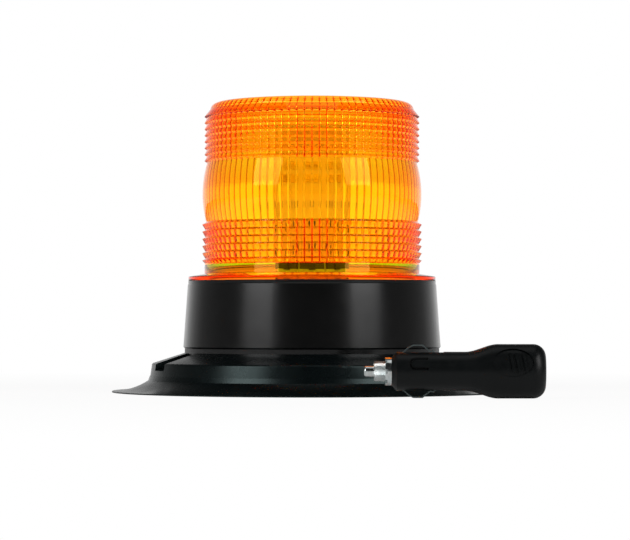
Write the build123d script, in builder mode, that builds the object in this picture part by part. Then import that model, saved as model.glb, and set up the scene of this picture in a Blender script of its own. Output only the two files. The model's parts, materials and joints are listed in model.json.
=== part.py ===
from build123d import *
import os
from math import cos, radians, sin, sqrt

os.makedirs("parts", exist_ok=True)

# Magnetic LED beacon, in millimetres. The origin is on the beacon's axis at the magnet's resting face, +Z up.
# The 12 V plug lies on the same surface, in front and to the right, with its own axis along +X.

# Rubber suction boot
skirt_width = 20.6
lip_thickness = 0.7
lip_land = 2.5
skirt_bend_share = 0.432
skirt_bend_height = 2.4
skirt_thickness = 1.3
collar_cover = 9.4
collar_foot_height = 6.7
step_rise = 2.7
step_inset = 0.9
ledge_inset = 0.3
collar_wall_rise = 6.2
collar_draft = 0.9
collar_edge_round = 1.1
shoulder_rise = 5.6
seat_depth = 3.1
boot_opening_radius = 34.0
pad_height = 0.5
pad_cover = 2.0
channel_width = 16.0
channel_floor_depth = 3.1
channel_angle = 21.0

# Magnet set under the boot
scuff_pad_thickness = 1.2
cup_margin = 15.0
cup_wall = 3.0
cup_roof = 2.0
cup_height = 7.8
magnet_bore = 14.0
magnet_gap = 0.6
magnet_underside = 0.5
plate_margin = 11.4
plate_thickness = 2.0
fit_gap = 0.2

# Fasteners
bolt_radius = 4.0
bolt_hole_radius = 4.2
bolt_head_flats = 13.0
bolt_head_height = 5.3
bolt_length = 24.0
bolt_inset = 7.6
bolt_count = 3
bolt_start_angle = 30.0
washer_radius = 8.0
washer_thickness = 1.6
well_radius = 9.0
centre_bolt_length = 9.3
nut_height = 6.5
insert_radius = 5.2
insert_length = 15.0

# Drum housing
housing_height = 44.0
foot_radius = 72.6
foot_rise = 5.6
bead_swell = 0.8
bead_rise = 0.9
drum_draft = 1.7
drum_wall = 2.5
rim_height = 1.8
rim_groove = 0.3
floor_thickness = 3.0
insert_boss_radius = 7.3
insert_boss_height = 19.0
column_inset = 9.9
column_radius = 6.0
column_count = 3
lens_screw_radius = 1.9
lens_screw_head_radius = 3.7
lens_screw_head_height = 2.6
lens_screw_bite = 7.0
deck_thickness = 2.5
deck_drop = 4.5
deck_gap = 0.4
ledge_width = 5.4
ledge_thickness = 2.5
rim_land = 1.6
seal_width = 2.2
seal_height = 1.4
seal_lip = 1.4
mouth_flange = 2.2

# Lead inlet at the back of the drum
inlet_height = 17.0
inlet_body_radius = 6.0
inlet_flange_radius = 7.8
inlet_flange_thickness = 2.0
inlet_flange_gap = 0.2
lead_radius = 3.1

# Lens
flange_edge = 2.6
flange_edge_break = 0.4
flange_rise = 4.1
flange_width = 9.2
band_rise = 9.8
lens_wall = 2.3
tooth_count_low = 6
tooth_pitch_low = 4.1
tooth_sink_low = 0.5
tooth_stand_low = 1.3
tooth_first_low = 1.9
tooth_back = 1.0
barrel_lead = 1.3
barrel_height = 33.9
barrel_foot_sink = 0.9
barrel_swell = 1.1
barrel_top_sink = 1.5
barrel_swell_share = 0.46
tooth_count_high = 8
tooth_pitch_high = 3.6
tooth_depth_high = 1.3
crown_shoulder_inset = 3.3
crown_shoulder_rise = 4.1
crown_corner_inset = 8.4
crown_corner_rise = 8.0
crown_rise = 9.5
flute_wall = 4.2
flute_count = 88
flute_depth = 0.8
lens_boss_radius = 4.0

# LED tower
tower_flats = 36.0
tower_sides = 8
tower_bore = 11.0
tower_height = 78.5
tower_flange_radius = 27.0
tower_flange_thickness = 3.0
tower_screw_circle = 23.4
board_thickness = 1.6
board_width = 14.0
board_lift = 2.5
board_head_room = 10.0
led_size = 3.5
led_thickness = 1.4
led_spacing = 6.8
led_drop_low = 10.7
led_drop_high = 4.6
cap_overhang = 0.8
cap_height = 3.2
cap_plug_length = 6.0
deck_hole_radius = 9.0

# Flasher board inside the drum
standoff_height = 8.0
standoff_radius = 3.0
standoff_circle = 38.0
standoff_count = 4
driver_board_radius = 45.0
small_screw_radius = 1.2
small_head_radius = 2.0
small_head_height = 1.6
capacitor_radius = 6.3
capacitor_height = 16.0
capacitor_offset = 22.0
capacitor_pitch = 18.0
choke_radius = 9.0
choke_bore = 4.0
choke_height = 7.0
choke_across = 22.0
choke_along = 12.0
chip_length = 8.0
chip_width = 6.0
chip_pitch = 14.5
chip_offset = 23.0
terminal_length = 15.0
terminal_depth = 9.0
terminal_height = 10.0
terminal_offset = 33.0
wire_radius = 0.9
wire_spacing = 6.0
wire_length = 34.0

# Plug for an accessory socket
plug_x = 27.0
plug_y = -130.0
plug_rest_gap = 0.03
pin_radius = 2.8
pin_nose_round = 1.2
pin_flange_radius = 3.6
pin_flange_thickness = 1.4
pin_rest_gap = 0.3
running_gap = 0.05
cap_nose = 5.2
cap_radius = 5.25
cap_bore = 3.8
cap_front_wall = 2.5
neck_radius = 4.6
neck_length = 4.6
ring_radius = 7.4
ring_length = 3.2
ring_notches = 8
ring_notch_width = 2.2
ring_notch_depth = 1.0
body_start = 14.4
body_nose_radius = 7.2
body_nose_length = 2.6
barrel_radius = 10.2
barrel_end = 52.2
grip_start = 71.0
grip_end = 95.0
grip_half_height = 14.2
grip_half_width = 10.5
grip_end_round = 6.6
dish_centre = 77.3
dish_lift = 4.6
dish_half_length = 10.9
dish_half_height = 7.3
dish_depth = 0.7
ridge_lean = 11.0
ridge_length = 10.5
ridge_width = 1.4
ridge_places = (77.0, 79.9, 83.7)
fuse_radius = 3.15
fuse_length = 30.0
fuse_start = 17.4
fuse_gap = 0.15
spring_wire = 0.7
spring_radius = 2.9
spring_turns = 5
contact_thickness = 0.6
contact_width = 4.6
leaf_sink = 1.0
leaf_rise = 4.4
contact_travel = 3.0
slot_gap = 0.3
slot_start = 19.0
slot_end = 41.8
plug_lead_radius = 2.6
plug_lead_depth = 15.0
plug_screw_x = 63.0
plug_screw_radius = 1.4
plug_screw_head_radius = 2.6
plug_screw_head_height = 1.8
plug_screw_sink = 1.5
groove_start = 23.5
groove_length = 9.9
groove_top = 7.3
groove_bottom = 1.0
groove_width = 1.2
groove_floor = 6.0

# Radii that follow from the drum's foot
drum_top_radius = foot_radius - drum_draft
rim_radius = drum_top_radius - rim_groove
column_circle_radius = drum_top_radius - column_inset
bolt_circle_radius = foot_radius - bolt_inset
cup_radius = bolt_circle_radius - cup_margin
plate_radius = foot_radius + plate_margin
pad_edge_radius = plate_radius + pad_cover
collar_foot_radius = plate_radius + collar_cover
lip_radius = collar_foot_radius + skirt_width
skirt_bend_radius = collar_foot_radius + skirt_bend_share * skirt_width
ledge_outer = collar_foot_radius - step_inset
collar_top_radius = ledge_outer - ledge_inset - collar_draft
bead_radius = foot_radius + bead_swell
seat_bore_radius = foot_radius + fit_gap
seal_outer_radius = rim_radius - rim_land
mouth_radius = seal_outer_radius - seal_width - seal_lip
deck_radius = mouth_radius - deck_gap
ledge_radius = mouth_radius - ledge_width
band_radius = rim_radius - flange_width
tooth_root_low = band_radius - tooth_sink_low
tooth_tip_low = band_radius + tooth_stand_low
barrel_foot_radius = band_radius - barrel_foot_sink
barrel_swell_radius = band_radius + barrel_swell
barrel_top_radius = band_radius - barrel_top_sink
tooth_tip_high = band_radius
tooth_root_high = tooth_tip_high - tooth_depth_high
crown_shoulder_radius = band_radius - crown_shoulder_inset
crown_corner_radius = band_radius - crown_corner_inset
lens_bore = band_radius - flute_wall

# Heights that follow from the sizes above
step_top = collar_foot_height + step_rise
collar_top = step_top + collar_wall_rise
shoulder_base = collar_top + collar_edge_round
shoulder_top = shoulder_base + shoulder_rise
seat_z = shoulder_top - seat_depth
cup_top = scuff_pad_thickness + cup_height
plate_top = cup_top + plate_thickness
channel_floor = collar_top - channel_floor_depth
housing_top = seat_z + housing_height
floor_top = seat_z + floor_thickness
bead_z = seat_z + foot_rise
groove_z = housing_top - rim_height
deck_top = housing_top - deck_drop
deck_bottom = deck_top - deck_thickness
column_top = deck_bottom - ledge_thickness
band_top = housing_top + band_rise
teeth_low_end = band_top + tooth_first_low + tooth_pitch_low * (tooth_count_low - 1)
barrel_base = teeth_low_end + barrel_lead
barrel_top = barrel_base + barrel_height
teeth_high_start = barrel_top + tooth_back
teeth_high_end = teeth_high_start + tooth_pitch_high * (tooth_count_high - 1)
crown_top = teeth_high_end + crown_rise
tower_base = deck_top
tower_top = tower_base + tower_flange_thickness + tower_height
board_base = tower_base + tower_flange_thickness + board_lift
board_height = tower_height - board_lift - board_head_room
driver_board_base = floor_top + standoff_height
driver_board_top = driver_board_base + board_thickness
plug_z = grip_half_height + plug_rest_gap


def drum_radius(z):
    """Outside radius of the tapered drum wall at a height."""
    share = (z - bead_z - bead_rise) / (groove_z - bead_z - bead_rise)
    return bead_radius + (drum_top_radius - bead_radius) * share


inner_top = drum_radius(deck_top) - drum_wall
inner_foot = drum_radius(bead_z + bead_rise) - drum_wall
wall_foot = floor_top
wall_head = column_top - ledge_thickness


def bore_radius(z):
    """Inside radius of the drum wall between its floor and the deck ledge."""
    return inner_foot + (inner_top - inner_foot) * (z - wall_foot) / (wall_head - wall_foot)


def save(builder, name):
    """Label a finished piece and write its file."""
    builder.part.label = name
    export_step(builder.part, f"parts/{name}.step")


# Rubber boot: thin flared suction skirt, stepped collar and sloping shoulder, moulded round the steel plate
with BuildPart() as suction_boot:
    with BuildSketch(Plane.XZ):
        with BuildLine():
            ThreePointArc(
                (lip_radius, lip_thickness),
                (skirt_bend_radius, skirt_bend_height),
                (collar_foot_radius, collar_foot_height),
            )
            Polyline(
                (collar_foot_radius, collar_foot_height),
                (ledge_outer, step_top),
                (ledge_outer - ledge_inset, step_top),
                (collar_top_radius, collar_top),
            )
            RadiusArc(
                (collar_top_radius, collar_top),
                (collar_top_radius - collar_edge_round, shoulder_base),
                -collar_edge_round * 1.15,
            )
            Polyline(
                (collar_top_radius - collar_edge_round, shoulder_base),
                (seat_bore_radius, shoulder_top),
                (seat_bore_radius, seat_z),
                (boot_opening_radius, seat_z),
                (boot_opening_radius, plate_top),
                (plate_radius + fit_gap, plate_top),
                (plate_radius + fit_gap, cup_top),
                (cup_radius + fit_gap, cup_top),
                (cup_radius + fit_gap, pad_height),
                (pad_edge_radius, pad_height),
                (pad_edge_radius + skirt_bend_height, collar_foot_height - 2 * skirt_thickness),
            )
            ThreePointArc(
                (pad_edge_radius + skirt_bend_height, collar_foot_height - 2 * skirt_thickness),
                (skirt_bend_radius, skirt_bend_height - skirt_thickness),
                (lip_radius - lip_land, 0),
            )
            Polyline((lip_radius - lip_land, 0), (lip_radius, 0), (lip_radius, lip_thickness))
        make_face()
    revolve(axis=Axis.Z)
    # Drain and lead channels through the shoulder and the collar wall
    channel_length = lip_radius - foot_radius
    for angle in (channel_angle, 180 - channel_angle, 180 + channel_angle, 360 - channel_angle):
        with BuildSketch(Plane.XY.offset(channel_floor)):
            with PolarLocations(foot_radius + channel_length / 2, 1, start_angle=angle):
                Rectangle(channel_length, channel_width)
        extrude(amount=shoulder_top, mode=Mode.SUBTRACT)
    # Wells for the bolt heads below the plate, and bolt holes above it
    with BuildSketch(Plane.XY.offset(pad_height)):
        with PolarLocations(bolt_circle_radius, bolt_count, start_angle=bolt_start_angle):
            Circle(well_radius)
    extrude(amount=cup_top - pad_height, mode=Mode.SUBTRACT)
    with BuildSketch(Plane.XY.offset(plate_top)):
        with PolarLocations(bolt_circle_radius, bolt_count, start_angle=bolt_start_angle):
            Circle(bolt_hole_radius)
    extrude(amount=seat_z - plate_top, mode=Mode.SUBTRACT)
save(suction_boot, "suction_boot")

# Steel plate that carries the magnet and takes the pull of the bolts
with BuildPart() as carrier_plate:
    with BuildSketch(Plane.XY.offset(cup_top)):
        Circle(plate_radius)
        Circle(bolt_hole_radius, mode=Mode.SUBTRACT)
        with PolarLocations(bolt_circle_radius, bolt_count, start_angle=bolt_start_angle):
            Circle(bolt_hole_radius, mode=Mode.SUBTRACT)
    extrude(amount=plate_thickness)
save(carrier_plate, "carrier_plate")

# Steel pot round the ring magnet
magnet_radius = cup_radius - cup_wall - magnet_gap
magnet_top = cup_top - cup_roof
magnet_base = scuff_pad_thickness + magnet_underside
with BuildPart() as magnet_cup:
    with BuildSketch(Plane.XY.offset(scuff_pad_thickness)):
        Circle(cup_radius)
    extrude(amount=cup_height)
    with BuildSketch(Plane.XY.offset(scuff_pad_thickness)):
        Circle(cup_radius - cup_wall)
    extrude(amount=cup_height - cup_roof, mode=Mode.SUBTRACT)
    with BuildSketch(Plane.XY.offset(magnet_top)):
        Circle(bolt_hole_radius)
    extrude(amount=cup_roof, mode=Mode.SUBTRACT)
save(magnet_cup, "magnet_cup")

with BuildPart() as ring_magnet:
    with BuildSketch(Plane.XY.offset(magnet_base)):
        Circle(magnet_radius)
        Circle(magnet_bore, mode=Mode.SUBTRACT)
    extrude(amount=magnet_top - magnet_base)
save(ring_magnet, "ring_magnet")

# Soft disc that keeps the pot from scratching what it stands on
with BuildPart() as scuff_pad:
    with BuildSketch(Plane.XY):
        Circle(cup_radius)
    extrude(amount=scuff_pad_thickness)
save(scuff_pad, "scuff_pad")

# Central bolt: head inside the magnet's bore, nut on top of the plate
with BuildPart() as centre_bolt:
    with BuildSketch(Plane.XY.offset(magnet_top - bolt_head_height + fit_gap)):
        RegularPolygon(bolt_head_flats / 2, 6, major_radius=False)
    extrude(amount=bolt_head_height - fit_gap)
    with BuildSketch(Plane.XY.offset(magnet_top)):
        Circle(bolt_radius)
    extrude(amount=centre_bolt_length + cup_roof)
save(centre_bolt, "centre_bolt")

with BuildPart() as centre_nut:
    with BuildSketch(Plane.XY.offset(plate_top)):
        RegularPolygon(bolt_head_flats / 2, 6, major_radius=False)
        Circle(bolt_radius, mode=Mode.SUBTRACT)
    extrude(amount=nut_height)
save(centre_nut, "centre_nut")

# Three bolts on the standard beacon circle, with washers, up into brass inserts in the drum
with BuildPart() as mount_washers:
    with BuildSketch(Plane.XY.offset(cup_top - washer_thickness)):
        with PolarLocations(bolt_circle_radius, bolt_count, start_angle=bolt_start_angle):
            Circle(washer_radius)
            Circle(bolt_hole_radius, mode=Mode.SUBTRACT)
    extrude(amount=washer_thickness)
save(mount_washers, "mount_washers")

bolt_head_top = cup_top - washer_thickness
with BuildPart() as mount_bolts:
    with BuildSketch(Plane.XY.offset(bolt_head_top - bolt_head_height)):
        with PolarLocations(bolt_circle_radius, bolt_count, start_angle=bolt_start_angle):
            RegularPolygon(bolt_head_flats / 2, 6, major_radius=False)
    extrude(amount=bolt_head_height)
    with BuildSketch(Plane.XY.offset(bolt_head_top)):
        with PolarLocations(bolt_circle_radius, bolt_count, start_angle=bolt_start_angle):
            Circle(bolt_radius)
    extrude(amount=bolt_length)
save(mount_bolts, "mount_bolts")

with BuildPart() as threaded_inserts:
    with BuildSketch(Plane.XY.offset(seat_z)):
        with PolarLocations(bolt_circle_radius, bolt_count, start_angle=bolt_start_angle):
            Circle(insert_radius)
            Circle(bolt_radius, mode=Mode.SUBTRACT)
    extrude(amount=insert_length)
save(threaded_inserts, "threaded_inserts")

# Drum housing: floor, tapered wall, deck ledge, seal groove in the rim, insert bosses and lens columns
head_top = seat_z + lens_screw_head_height
with BuildPart() as drum_housing:
    with BuildSketch(Plane.XZ):
        with BuildLine():
            Polyline(
                (0, floor_top),
                (0, seat_z),
                (foot_radius, seat_z),
                (foot_radius, bead_z),
            )
            RadiusArc((foot_radius, bead_z), (bead_radius, bead_z + bead_rise), 2 * bead_rise)
            Polyline(
                (bead_radius, bead_z + bead_rise),
                (drum_top_radius, groove_z - rim_groove),
                (rim_radius, groove_z),
                (rim_radius, housing_top),
                (seal_outer_radius + fit_gap, housing_top),
                (seal_outer_radius + fit_gap, housing_top - seal_height),
                (mouth_radius, housing_top - seal_height),
                (mouth_radius, housing_top - seal_height - mouth_flange),
                (inner_top, deck_top - fit_gap),
                (inner_top, deck_bottom),
                (ledge_radius, deck_bottom),
                (ledge_radius, column_top),
                (inner_top, wall_head),
                (inner_foot, wall_foot),
                (0, floor_top),
            )
        make_face()
    revolve(axis=Axis.Z)
    with BuildSketch(Plane.XY.offset(floor_top)):
        with PolarLocations(bolt_circle_radius, bolt_count, start_angle=bolt_start_angle):
            Circle(insert_boss_radius)
    extrude(amount=insert_boss_height - floor_thickness)
    with BuildSketch(Plane.XY.offset(floor_top)):
        with PolarLocations(column_circle_radius, column_count):
            Circle(column_radius)
    extrude(amount=column_top - floor_top)
    # Pockets for the inserts, room for the bolts' ends above them
    with BuildSketch(Plane.XY.offset(seat_z)):
        with PolarLocations(bolt_circle_radius, bolt_count, start_angle=bolt_start_angle):
            Circle(insert_radius)
    extrude(amount=insert_length, mode=Mode.SUBTRACT)
    # Lens screws come up through the columns, and the lens bosses stand on them through the ledge
    with BuildSketch(Plane.XY.offset(seat_z)):
        with PolarLocations(column_circle_radius, column_count):
            Circle(lens_screw_head_radius + fit_gap)
    extrude(amount=lens_screw_head_height, mode=Mode.SUBTRACT)
    with BuildSketch(Plane.XY.offset(head_top)):
        with PolarLocations(column_circle_radius, column_count):
            Circle(lens_screw_radius + fit_gap)
    extrude(amount=column_top - head_top, mode=Mode.SUBTRACT)
    with BuildSketch(Plane.XY.offset(column_top)):
        with PolarLocations(column_circle_radius, column_count):
            Circle(lens_boss_radius + 2 * fit_gap)
    extrude(amount=ledge_thickness, mode=Mode.SUBTRACT)
    with BuildSketch(Plane.XY.offset(column_top)):
        with PolarLocations(column_circle_radius, column_count, start_angle=180 / column_count):
            Circle(small_screw_radius)
    extrude(amount=ledge_thickness, mode=Mode.SUBTRACT)
    # Lead inlet through the back wall
    with BuildSketch(Plane.XZ.offset(-foot_radius - bead_swell)):
        with Locations((0, seat_z + inlet_height)):
            Circle(inlet_body_radius)
    extrude(amount=4 * drum_wall, mode=Mode.SUBTRACT)
    # Pilot holes for the standoffs
    with BuildSketch(Plane.XY.offset(floor_top)):
        with PolarLocations(standoff_circle, standoff_count, start_angle=45):
            Circle(small_screw_radius)
    extrude(amount=-floor_thickness / 2, mode=Mode.SUBTRACT)
save(drum_housing, "drum_housing")

# Rubber bush that lines the inlet, with a flange on each side of the wall
inlet_z = seat_z + inlet_height
wall_outside = drum_radius(inlet_z - inlet_flange_radius)
wall_inside = sqrt(bore_radius(inlet_z + inlet_flange_radius) ** 2 - inlet_flange_radius**2)
with BuildPart() as lead_grommet:
    with BuildSketch(Plane.XZ.offset(-wall_outside - inlet_flange_gap)):
        with Locations((0, inlet_z)):
            Circle(inlet_flange_radius)
    extrude(amount=-inlet_flange_thickness)
    with BuildSketch(Plane.XZ.offset(-wall_inside + inlet_flange_gap)):
        with Locations((0, inlet_z)):
            Circle(inlet_flange_radius)
    extrude(amount=inlet_flange_thickness)
    with BuildSketch(Plane.XZ.offset(-wall_outside - inlet_flange_gap)):
        with Locations((0, inlet_z)):
            Circle(inlet_body_radius)
    extrude(amount=wall_outside - wall_inside + 2 * inlet_flange_gap)
    with BuildSketch(Plane.XZ.offset(-wall_outside - inlet_flange_gap - inlet_flange_thickness)):
        with Locations((0, inlet_z)):
            Circle(lead_radius)
    extrude(
        amount=wall_outside - wall_inside + 2 * (inlet_flange_gap + inlet_flange_thickness),
        mode=Mode.SUBTRACT,
    )
save(lead_grommet, "lead_grommet")

# Flat seal between the drum's rim and the lens flange
with BuildPart() as lens_seal:
    with BuildSketch(Plane.XY.offset(housing_top - seal_height)):
        Circle(seal_outer_radius)
        Circle(seal_outer_radius - seal_width, mode=Mode.SUBTRACT)
    extrude(amount=seal_height)
save(lens_seal, "lens_seal")

# Amber lens: flange, plain band, two bands of ring prisms, swelling barrel and domed crown, fluted inside
with BuildPart() as lens:
    with BuildSketch(Plane.XZ):
        with BuildLine():
            Polyline(
                (0, housing_top),
                (rim_radius, housing_top),
                (rim_radius, housing_top + flange_edge - flange_edge_break),
                (rim_radius - flange_edge_break, housing_top + flange_edge),
                (band_radius, housing_top + flange_rise),
                (band_radius, band_top),
                (tooth_root_low, band_top),
            )
            low_profile = [(tooth_root_low, band_top)]
            for tooth in range(tooth_count_low):
                tip = band_top + tooth_first_low + tooth * tooth_pitch_low
                low_profile.append((tooth_tip_low, tip))
                low_profile.append((tooth_root_low, tip + tooth_back))
            low_profile.append((barrel_foot_radius, barrel_base))
            Polyline(*low_profile)
            ThreePointArc(
                (barrel_foot_radius, barrel_base),
                (barrel_swell_radius, barrel_base + barrel_swell_share * barrel_height),
                (barrel_top_radius, barrel_top),
            )
            high_profile = [(barrel_top_radius, barrel_top)]
            for tooth in range(tooth_count_high):
                tip = teeth_high_start + tooth * tooth_pitch_high
                high_profile.append((tooth_tip_high, tip))
                if tooth < tooth_count_high - 1:
                    high_profile.append((tooth_root_high, tip + tooth_pitch_high - tooth_back))
            high_profile.append((crown_shoulder_radius, teeth_high_end + crown_shoulder_rise))
            Polyline(*high_profile)
            ThreePointArc(
                (crown_shoulder_radius, teeth_high_end + crown_shoulder_rise),
                (
                    crown_corner_radius + 0.62 * (crown_shoulder_radius - crown_corner_radius),
                    teeth_high_end + crown_shoulder_rise + 0.7 * (crown_corner_rise - crown_shoulder_rise),
                ),
                (crown_corner_radius, teeth_high_end + crown_corner_rise),
            )
            Polyline(
                (crown_corner_radius, teeth_high_end + crown_corner_rise),
                (0, crown_top),
                (0, housing_top),
            )
        make_face()
    revolve(axis=Axis.Z)
    # Plain bore behind the flange and the clear band
    with BuildSketch(Plane.XY.offset(housing_top)):
        Circle(band_radius - lens_wall)
    extrude(amount=band_rise, mode=Mode.SUBTRACT)
    # Fluted bore up to the crown
    half_step = 180 / flute_count
    flute_points = []
    for flute in range(flute_count):
        for radius, angle in ((lens_bore, 2 * flute), (lens_bore + flute_depth, 2 * flute + 1)):
            turn = radians(angle * half_step)
            flute_points.append((radius * cos(turn), radius * sin(turn)))
    with BuildSketch(Plane.XY.offset(band_top)):
        with BuildLine():
            Polyline(*flute_points, close=True)
        make_face()
    extrude(amount=teeth_high_end - band_top, mode=Mode.SUBTRACT)
    # Hollow under the crown
    with BuildSketch(Plane.XZ):
        with BuildLine():
            Polyline(
                (0, teeth_high_end),
                (crown_shoulder_radius - lens_wall, teeth_high_end),
                (crown_shoulder_radius - lens_wall, teeth_high_end + crown_shoulder_rise - lens_wall),
                (crown_corner_radius - lens_wall, teeth_high_end + crown_corner_rise - lens_wall),
                (0, crown_top - lens_wall),
                (0, teeth_high_end),
            )
        make_face()
    revolve(axis=Axis.Z, mode=Mode.SUBTRACT)
    # Three bosses that the screws pull down on the columns
    with BuildSketch(Plane.XY.offset(housing_top)):
        with PolarLocations(column_circle_radius, column_count):
            Circle(lens_boss_radius)
    extrude(amount=column_top - housing_top)
    with BuildSketch(Plane.XY.offset(column_top)):
        with PolarLocations(column_circle_radius, column_count):
            Circle(lens_screw_radius)
    extrude(amount=lens_screw_bite, mode=Mode.SUBTRACT)
save(lens, "lens")

with BuildPart() as lens_screws:
    with BuildSketch(Plane.XY.offset(seat_z)):
        with PolarLocations(column_circle_radius, column_count):
            Circle(lens_screw_head_radius)
    extrude(amount=lens_screw_head_height)
    with BuildSketch(Plane.XY.offset(head_top)):
        with PolarLocations(column_circle_radius, column_count):
            Circle(lens_screw_radius)
    extrude(amount=column_top + lens_screw_bite - head_top)
save(lens_screws, "lens_screws")

# Deck that closes the drum under the lens and carries the tower
with BuildPart() as inner_deck:
    with BuildSketch(Plane.XY.offset(deck_bottom)):
        Circle(deck_radius)
        Circle(deck_hole_radius, mode=Mode.SUBTRACT)
        with PolarLocations(column_circle_radius, column_count):
            Circle(lens_boss_radius + 4 * fit_gap, mode=Mode.SUBTRACT)
        with PolarLocations(column_circle_radius, column_count, start_angle=180 / column_count):
            Circle(small_screw_radius, mode=Mode.SUBTRACT)
        with PolarLocations(tower_screw_circle, 4, start_angle=45):
            Circle(small_screw_radius, mode=Mode.SUBTRACT)
    extrude(amount=deck_thickness)
save(inner_deck, "inner_deck")

with BuildPart() as deck_screws:
    with BuildSketch(Plane.XY.offset(deck_top)):
        with PolarLocations(column_circle_radius, column_count, start_angle=180 / column_count):
            Circle(small_head_radius)
    extrude(amount=small_head_height)
    with BuildSketch(Plane.XY.offset(column_top)):
        with PolarLocations(column_circle_radius, column_count, start_angle=180 / column_count):
            Circle(small_screw_radius)
    extrude(amount=deck_top - column_top)
save(deck_screws, "deck_screws")

# Octagonal aluminium column that cools the LEDs
with BuildPart() as led_tower:
    with BuildSketch(Plane.XY.offset(tower_base)):
        Circle(tower_flange_radius)
        with PolarLocations(tower_screw_circle, 4, start_angle=45):
            Circle(small_screw_radius, mode=Mode.SUBTRACT)
    extrude(amount=tower_flange_thickness)
    with BuildSketch(Plane.XY.offset(tower_base + tower_flange_thickness)):
        RegularPolygon(tower_flats / 2, tower_sides, major_radius=False, rotation=180 / tower_sides)
    extrude(amount=tower_height)
    with BuildSketch(Plane.XY.offset(tower_base)):
        Circle(tower_bore)
    extrude(amount=tower_flange_thickness + tower_height, mode=Mode.SUBTRACT)
save(led_tower, "led_tower")

with BuildPart() as tower_screws:
    with BuildSketch(Plane.XY.offset(tower_base + tower_flange_thickness)):
        with PolarLocations(tower_screw_circle, 4, start_angle=45):
            Circle(small_head_radius)
    extrude(amount=small_head_height)
    with BuildSketch(Plane.XY.offset(deck_bottom)):
        with PolarLocations(tower_screw_circle, 4, start_angle=45):
            Circle(small_screw_radius)
    extrude(amount=deck_thickness + tower_flange_thickness)
save(tower_screws, "tower_screws")

with BuildPart() as tower_cap:
    with BuildSketch(Plane.XY.offset(tower_top)):
        RegularPolygon(
            tower_flats / 2 + cap_overhang, tower_sides, major_radius=False, rotation=180 / tower_sides
        )
    extrude(amount=cap_height)
    chamfer(tower_cap.faces().sort_by(Axis.Z)[-1].edges(), cap_overhang)
    with BuildSketch(Plane.XY.offset(tower_top)):
        Circle(tower_bore - fit_gap / 2)
    extrude(amount=-cap_plug_length)
save(tower_cap, "tower_cap")

# One circuit board on each flat of the tower, each with its LEDs in two rows
for side in range(tower_sides):
    with BuildPart() as led_board:
        with BuildSketch(Plane.XY.offset(board_base)):
            with PolarLocations(
                (tower_flats + board_thickness) / 2, 1, start_angle=side * 360 / tower_sides
            ):
                Rectangle(board_thickness, board_width)
        extrude(amount=board_height)
    save(led_board, f"led_board_{side + 1}")

for name, drop in (("leds_lower_row", led_drop_low), ("leds_upper_row", led_drop_high)):
    with BuildPart() as led_row:
        with BuildSketch(Plane.XY.offset(board_base + board_height - drop - led_size / 2)):
            with PolarLocations((tower_flats + led_thickness) / 2 + board_thickness, tower_sides):
                with Locations((0, -led_spacing / 2), (0, led_spacing / 2)):
                    Rectangle(led_thickness, led_size)
        extrude(amount=led_size)
    save(led_row, name)

# Flasher board on four standoffs, with its parts
with BuildPart() as board_standoffs:
    with BuildSketch(Plane.XY.offset(floor_top)):
        with PolarLocations(standoff_circle, standoff_count, start_angle=45):
            RegularPolygon(standoff_radius, 6)
            Circle(small_screw_radius, mode=Mode.SUBTRACT)
    extrude(amount=standoff_height)
save(board_standoffs, "board_standoffs")

with BuildPart() as driver_board:
    with BuildSketch(Plane.XY.offset(driver_board_base)):
        Circle(driver_board_radius)
        with PolarLocations(standoff_circle, standoff_count, start_angle=45):
            Circle(small_screw_radius, mode=Mode.SUBTRACT)
    extrude(amount=board_thickness)
save(driver_board, "driver_board")

with BuildPart() as board_screws:
    with BuildSketch(Plane.XY.offset(driver_board_top)):
        with PolarLocations(standoff_circle, standoff_count, start_angle=45):
            Circle(small_head_radius)
    extrude(amount=small_head_height)
    with BuildSketch(Plane.XY.offset(floor_top)):
        with PolarLocations(standoff_circle, standoff_count, start_angle=45):
            Circle(small_screw_radius)
    extrude(amount=standoff_height + board_thickness)
save(board_screws, "board_screws")

with BuildPart() as filter_capacitors:
    with BuildSketch(Plane.XY.offset(driver_board_top)):
        with Locations((-capacitor_offset, 0)):
            with GridLocations(1, capacitor_pitch, 1, 2):
                Circle(capacitor_radius)
    extrude(amount=capacitor_height)
save(filter_capacitors, "filter_capacitors")

with BuildPart() as filter_choke:
    with BuildSketch(Plane.XY.offset(driver_board_top)):
        with Locations((choke_across, choke_along)):
            Circle(choke_radius)
            Circle(choke_bore, mode=Mode.SUBTRACT)
    extrude(amount=choke_height)
save(filter_choke, "filter_choke")

with BuildPart() as driver_chips:
    with BuildSketch(Plane.XY.offset(driver_board_top)):
        with Locations((0, -chip_offset)):
            with GridLocations(chip_pitch, 1, 3, 1):
                Rectangle(chip_length, chip_width)
    extrude(amount=board_thickness)
save(driver_chips, "driver_chips")

with BuildPart() as terminal_block:
    with BuildSketch(Plane.XY.offset(driver_board_top)):
        with Locations((0, terminal_offset)):
            Rectangle(terminal_length, terminal_depth)
    extrude(amount=terminal_height)
    with BuildSketch(Plane.XZ.offset(-terminal_offset - terminal_depth / 2)):
        with Locations((0, driver_board_top + terminal_height / 3)):
            with GridLocations(wire_spacing, 1, 2, 1):
                Circle(wire_radius * 1.5)
    extrude(amount=terminal_depth / 2, mode=Mode.SUBTRACT)
    with BuildSketch(Plane.XY.offset(driver_board_top + terminal_height)):
        with Locations((0, terminal_offset)):
            with GridLocations(wire_spacing, 1, 2, 1):
                Circle(wire_radius * 1.8)
    extrude(amount=-terminal_height / 5, mode=Mode.SUBTRACT)
save(terminal_block, "terminal_block")

# Supply wires from the flasher board up into the tower
with BuildPart() as tower_wires:
    with BuildSketch(Plane.XY.offset(driver_board_top)):
        with GridLocations(wire_spacing, 1, 2, 1):
            Circle(wire_radius)
    extrude(amount=wire_length)
save(tower_wires, "tower_wires")

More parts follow.
